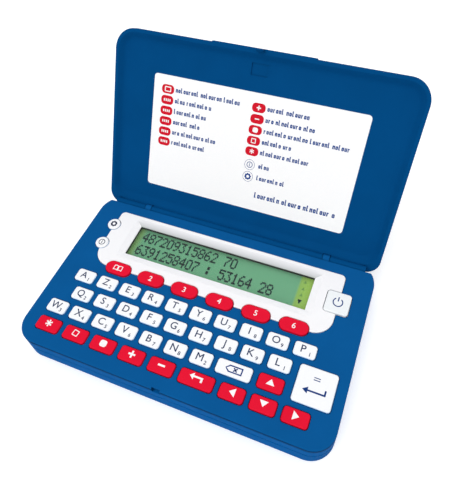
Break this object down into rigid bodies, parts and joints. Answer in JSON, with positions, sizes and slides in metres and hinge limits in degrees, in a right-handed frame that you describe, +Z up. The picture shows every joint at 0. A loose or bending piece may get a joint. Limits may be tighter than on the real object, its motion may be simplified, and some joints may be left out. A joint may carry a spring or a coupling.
{
  "type": "electronic dictionary",
  "caption": "Folding pocket electronic dictionary: keyboard base with a two line display, letter and function keys, and a hinged lid with a printed card inside.",
  "frame": {"origin": "centre of the base's underside, which is its flat resting face", "axes": "+Z up, +X to the user's right along the long side, +Y away from the user towards the hinge"},
  "size_m": [0.1312, 0.1218, 0.081],
  "materials": {
    "base_plastic": "satin moulded blue",
    "lid_plastic": "satin moulded blue, a shade darker",
    "white_plastic": "satin white",
    "white_key": "satin white keycap",
    "red_key": "satin red keycap",
    "clear_window": "clear acrylic",
    "display": "grey green reflective display",
    "silicone": "silicone rubber",
    "board": "solder masked circuit board",
    "screw_steel": "zinc plated",
    "cell_steel": "nickel plated",
    "contact_metal": "nickel plated spring strip",
    "card": "laminated printed card"
  },
  "bodies": {
    "base": {"top_case": "base_plastic", "bottom_case": "base_plastic", "display_bezel": "white_plastic", "display_lens": "clear_window", "lcd_module": "display", "key_mat": "silicone", "main_board": "board", "case_screws": "screw_steel", "battery_door": "base_plastic", "coin_cells": "cell_steel", "battery_contacts": "contact_metal"},
    "lid": {"lid_shell": "lid_plastic", "lid_card": "card"},
    "key_a_body": {"key_a": "white_key"},
    "key_z_body": {"key_z": "white_key"},
    "key_e_body": {"key_e": "white_key"},
    "key_r_body": {"key_r": "white_key"},
    "key_t_body": {"key_t": "white_key"},
    "key_y_body": {"key_y": "white_key"},
    "key_u_body": {"key_u": "white_key"},
    "key_i_body": {"key_i": "white_key"},
    "key_o_body": {"key_o": "white_key"},
    "key_p_body": {"key_p": "white_key"},
    "key_q_body": {"key_q": "white_key"},
    "key_s_body": {"key_s": "white_key"},
    "key_d_body": {"key_d": "white_key"},
    "key_f_body": {"key_f": "white_key"},
    "key_g_body": {"key_g": "white_key"},
    "key_h_body": {"key_h": "white_key"},
    "key_j_body": {"key_j": "white_key"},
    "key_k_body": {"key_k": "white_key"},
    "key_l_body": {"key_l": "white_key"},
    "key_w_body": {"key_w": "white_key"},
    "key_x_body": {"key_x": "white_key"},
    "key_c_body": {"key_c": "white_key"},
    "key_v_body": {"key_v": "white_key"},
    "key_b_body": {"key_b": "white_key"},
    "key_n_body": {"key_n": "white_key"},
    "key_m_body": {"key_m": "white_key"},
    "key_clear_body": {"key_clear": "white_key"},
    "key_enter_body": {"key_enter": "white_key"},
    "key_settings_body": {"key_settings": "white_key"},
    "key_info_body": {"key_info": "white_key"},
    "key_power_body": {"key_power": "white_key"},
    "key_star_body": {"key_star": "red_key"},
    "key_frame_body": {"key_frame": "red_key"},
    "key_dot_body": {"key_dot": "red_key"},
    "key_plus_body": {"key_plus": "red_key"},
    "key_minus_body": {"key_minus": "red_key"},
    "key_back_body": {"key_back": "red_key"},
    "key_left_body": {"key_left": "red_key"},
    "key_down_body": {"key_down": "red_key"},
    "key_right_body": {"key_right": "red_key"},
    "key_up_body": {"key_up": "red_key"},
    "key_menu_1_body": {"key_menu_1": "red_key"},
    "key_menu_2_body": {"key_menu_2": "red_key"},
    "key_menu_3_body": {"key_menu_3": "red_key"},
    "key_menu_4_body": {"key_menu_4": "red_key"},
    "key_menu_5_body": {"key_menu_5": "red_key"},
    "key_menu_6_body": {"key_menu_6": "red_key"}
  },
  "joints": [
    {"name": "lid_hinge", "type": "hinge", "parent": "base", "child": "lid", "pos_m": [0, 0.0376, 0.0126], "axis": [1, 0, 0], "range_deg": [0, 120]},
    {"name": "a_press", "type": "slide", "parent": "base", "child": "key_a_body", "axis": [0, 0, -1], "range_m": [0, 0.0007], "stiffness_N_per_m": 600},
    {"name": "z_press", "type": "slide", "parent": "base", "child": "key_z_body", "axis": [0, 0, -1], "range_m": [0, 0.0007], "stiffness_N_per_m": 600},
    {"name": "e_press", "type": "slide", "parent": "base", "child": "key_e_body", "axis": [0, 0, -1], "range_m": [0, 0.0007], "stiffness_N_per_m": 600},
    {"name": "r_press", "type": "slide", "parent": "base", "child": "key_r_body", "axis": [0, 0, -1], "range_m": [0, 0.0007], "stiffness_N_per_m": 600},
    {"name": "t_press", "type": "slide", "parent": "base", "child": "key_t_body", "axis": [0, 0, -1], "range_m": [0, 0.0007], "stiffness_N_per_m": 600},
    {"name": "y_press", "type": "slide", "parent": "base", "child": "key_y_body", "axis": [0, 0, -1], "range_m": [0, 0.0007], "stiffness_N_per_m": 600},
    {"name": "u_press", "type": "slide", "parent": "base", "child": "key_u_body", "axis": [0, 0, -1], "range_m": [0, 0.0007], "stiffness_N_per_m": 600},
    {"name": "i_press", "type": "slide", "parent": "base", "child": "key_i_body", "axis": [0, 0, -1], "range_m": [0, 0.0007], "stiffness_N_per_m": 600},
    {"name": "o_press", "type": "slide", "parent": "base", "child": "key_o_body", "axis": [0, 0, -1], "range_m": [0, 0.0007], "stiffness_N_per_m": 600},
    {"name": "p_press", "type": "slide", "parent": "base", "child": "key_p_body", "axis": [0, 0, -1], "range_m": [0, 0.0007], "stiffness_N_per_m": 600},
    {"name": "q_press", "type": "slide", "parent": "base", "child": "key_q_body", "axis": [0, 0, -1], "range_m": [0, 0.0007], "stiffness_N_per_m": 600},
    {"name": "s_press", "type": "slide", "parent": "base", "child": "key_s_body", "axis": [0, 0, -1], "range_m": [0, 0.0007], "stiffness_N_per_m": 600},
    {"name": "d_press", "type": "slide", "parent": "base", "child": "key_d_body", "axis": [0, 0, -1], "range_m": [0, 0.0007], "stiffness_N_per_m": 600},
    {"name": "f_press", "type": "slide", "parent": "base", "child": "key_f_body", "axis": [0, 0, -1], "range_m": [0, 0.0007], "stiffness_N_per_m": 600},
    {"name": "g_press", "type": "slide", "parent": "base", "child": "key_g_body", "axis": [0, 0, -1], "range_m": [0, 0.0007], "stiffness_N_per_m": 600},
    {"name": "h_press", "type": "slide", "parent": "base", "child": "key_h_body", "axis": [0, 0, -1], "range_m": [0, 0.0007], "stiffness_N_per_m": 600},
    {"name": "j_press", "type": "slide", "parent": "base", "child": "key_j_body", "axis": [0, 0, -1], "range_m": [0, 0.0007], "stiffness_N_per_m": 600},
    {"name": "k_press", "type": "slide", "parent": "base", "child": "key_k_body", "axis": [0, 0, -1], "range_m": [0, 0.0007], "stiffness_N_per_m": 600},
    {"name": "l_press", "type": "slide", "parent": "base", "child": "key_l_body", "axis": [0, 0, -1], "range_m": [0, 0.0007], "stiffness_N_per_m": 600},
    {"name": "w_press", "type": "slide", "parent": "base", "child": "key_w_body", "axis": [0, 0, -1], "range_m": [0, 0.0007], "stiffness_N_per_m": 600},
    {"name": "x_press", "type": "slide", "parent": "base", "child": "key_x_body", "axis": [0, 0, -1], "range_m": [0, 0.0007], "stiffness_N_per_m": 600},
    {"name": "c_press", "type": "slide", "parent": "base", "child": "key_c_body", "axis": [0, 0, -1], "range_m": [0, 0.0007], "stiffness_N_per_m": 600},
    {"name": "v_press", "type": "slide", "parent": "base", "child": "key_v_body", "axis": [0, 0, -1], "range_m": [0, 0.0007], "stiffness_N_per_m": 600},
    {"name": "b_press", "type": "slide", "parent": "base", "child": "key_b_body", "axis": [0, 0, -1], "range_m": [0, 0.0007], "stiffness_N_per_m": 600},
    {"name": "n_press", "type": "slide", "parent": "base", "child": "key_n_body", "axis": [0, 0, -1], "range_m": [0, 0.0007], "stiffness_N_per_m": 600},
    {"name": "m_press", "type": "slide", "parent": "base", "child": "key_m_body", "axis": [0, 0, -1], "range_m": [0, 0.0007], "stiffness_N_per_m": 600},
    {"name": "clear_press", "type": "slide", "parent": "base", "child": "key_clear_body", "axis": [0, 0, -1], "range_m": [0, 0.0007], "stiffness_N_per_m": 600},
    {"name": "enter_press", "type": "slide", "parent": "base", "child": "key_enter_body", "axis": [0, 0, -1], "range_m": [0, 0.0007], "stiffness_N_per_m": 600},
    {"name": "settings_press", "type": "slide", "parent": "base", "child": "key_settings_body", "axis": [0, 0, -1], "range_m": [0, 0.0007], "stiffness_N_per_m": 600},
    {"name": "info_press", "type": "slide", "parent": "base", "child": "key_info_body", "axis": [0, 0, -1], "range_m": [0, 0.0007], "stiffness_N_per_m": 600},
    {"name": "power_press", "type": "slide", "parent": "base", "child": "key_power_body", "axis": [0, 0, -1], "range_m": [0, 0.0007], "stiffness_N_per_m": 600},
    {"name": "star_press", "type": "slide", "parent": "base", "child": "key_star_body", "axis": [0, 0, -1], "range_m": [0, 0.0007], "stiffness_N_per_m": 600},
    {"name": "frame_press", "type": "slide", "parent": "base", "child": "key_frame_body", "axis": [0, 0, -1], "range_m": [0, 0.0007], "stiffness_N_per_m": 600},
    {"name": "dot_press", "type": "slide", "parent": "base", "child": "key_dot_body", "axis": [0, 0, -1], "range_m": [0, 0.0007], "stiffness_N_per_m": 600},
    {"name": "plus_press", "type": "slide", "parent": "base", "child": "key_plus_body", "axis": [0, 0, -1], "range_m": [0, 0.0007], "stiffness_N_per_m": 600},
    {"name": "minus_press", "type": "slide", "parent": "base", "child": "key_minus_body", "axis": [0, 0, -1], "range_m": [0, 0.0007], "stiffness_N_per_m": 600},
    {"name": "back_press", "type": "slide", "parent": "base", "child": "key_back_body", "axis": [0, 0, -1], "range_m": [0, 0.0007], "stiffness_N_per_m": 600},
    {"name": "left_press", "type": "slide", "parent": "base", "child": "key_left_body", "axis": [0, 0, -1], "range_m": [0, 0.0007], "stiffness_N_per_m": 600},
    {"name": "down_press", "type": "slide", "parent": "base", "child": "key_down_body", "axis": [0, 0, -1], "range_m": [0, 0.0007], "stiffness_N_per_m": 600},
    {"name": "right_press", "type": "slide", "parent": "base", "child": "key_right_body", "axis": [0, 0, -1], "range_m": [0, 0.0007], "stiffness_N_per_m": 600},
    {"name": "up_press", "type": "slide", "parent": "base", "child": "key_up_body", "axis": [0, 0, -1], "range_m": [0, 0.0007], "stiffness_N_per_m": 600},
    {"name": "menu_1_press", "type": "slide", "parent": "base", "child": "key_menu_1_body", "axis": [0, 0, -1], "range_m": [0, 0.0007], "stiffness_N_per_m": 600},
    {"name": "menu_2_press", "type": "slide", "parent": "base", "child": "key_menu_2_body", "axis": [0, 0, -1], "range_m": [0, 0.0007], "stiffness_N_per_m": 600},
    {"name": "menu_3_press", "type": "slide", "parent": "base", "child": "key_menu_3_body", "axis": [0, 0, -1], "range_m": [0, 0.0007], "stiffness_N_per_m": 600},
    {"name": "menu_4_press", "type": "slide", "parent": "base", "child": "key_menu_4_body", "axis": [0, 0, -1], "range_m": [0, 0.0007], "stiffness_N_per_m": 600},
    {"name": "menu_5_press", "type": "slide", "parent": "base", "child": "key_menu_5_body", "axis": [0, 0, -1], "range_m": [0, 0.0007], "stiffness_N_per_m": 600},
    {"name": "menu_6_press", "type": "slide", "parent": "base", "child": "key_menu_6_body", "axis": [0, 0, -1], "range_m": [0, 0.0007], "stiffness_N_per_m": 600}
  ]
}
